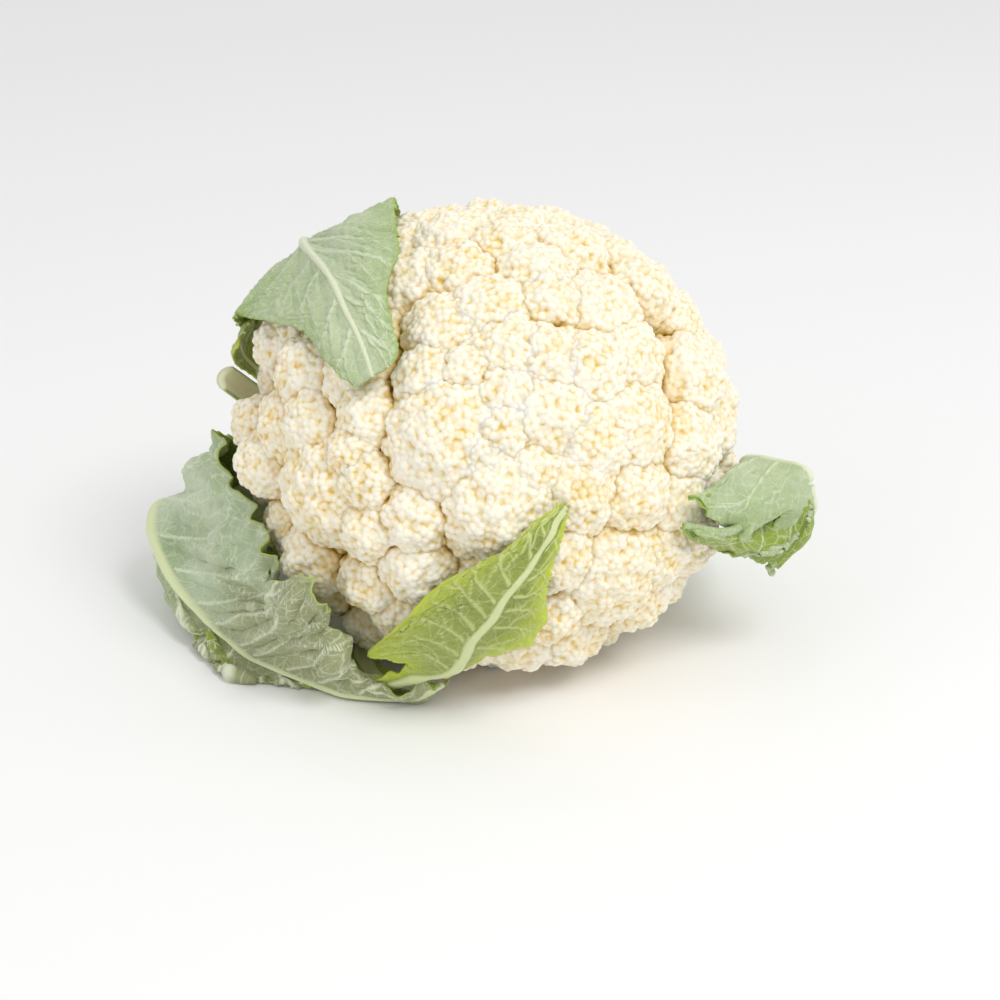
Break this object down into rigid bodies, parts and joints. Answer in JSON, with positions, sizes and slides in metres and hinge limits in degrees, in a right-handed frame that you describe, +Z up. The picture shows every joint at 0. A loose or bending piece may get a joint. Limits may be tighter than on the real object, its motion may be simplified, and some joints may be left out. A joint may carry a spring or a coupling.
{
  "type": "cauliflower",
  "caption": "Head of cauliflower lying on its side: ivory curd of domed florets, trimmed stalk, curled green wrapper leaves and stumps of cut leaves.",
  "frame": {"origin": "on the resting surface, under the middle of the object's box", "axes": "+Z up from the resting surface; -Y is the side that the crown of the head leans towards; +X to the right when the crown faces the viewer"},
  "size_m": [0.2372, 0.1715, 0.1543],
  "materials": {
    "curd": "ivory plant tissue, finely grained, with golden crevices",
    "stalk": "pale green stem with a moist cut end",
    "outer_leaf": "waxy blue-green leaf with pale raised veins",
    "inner_leaf": "tender yellow-green leaf with pale veins",
    "leaf_rib": "whitish green leaf rib, cut across"
  },
  "bodies": {
    "root": {"curd": "curd", "stalk": "stalk", "left_leaf": "outer_leaf", "front_leaf": "inner_leaf", "top_leaf": "outer_leaf", "right_leaf": "outer_leaf", "side_leaf_stub": "leaf_rib", "cut_leaf_base_1": "leaf_rib", "cut_leaf_base_2": "leaf_rib", "cut_leaf_base_3": "leaf_rib"}
  },
  "joints": []
}
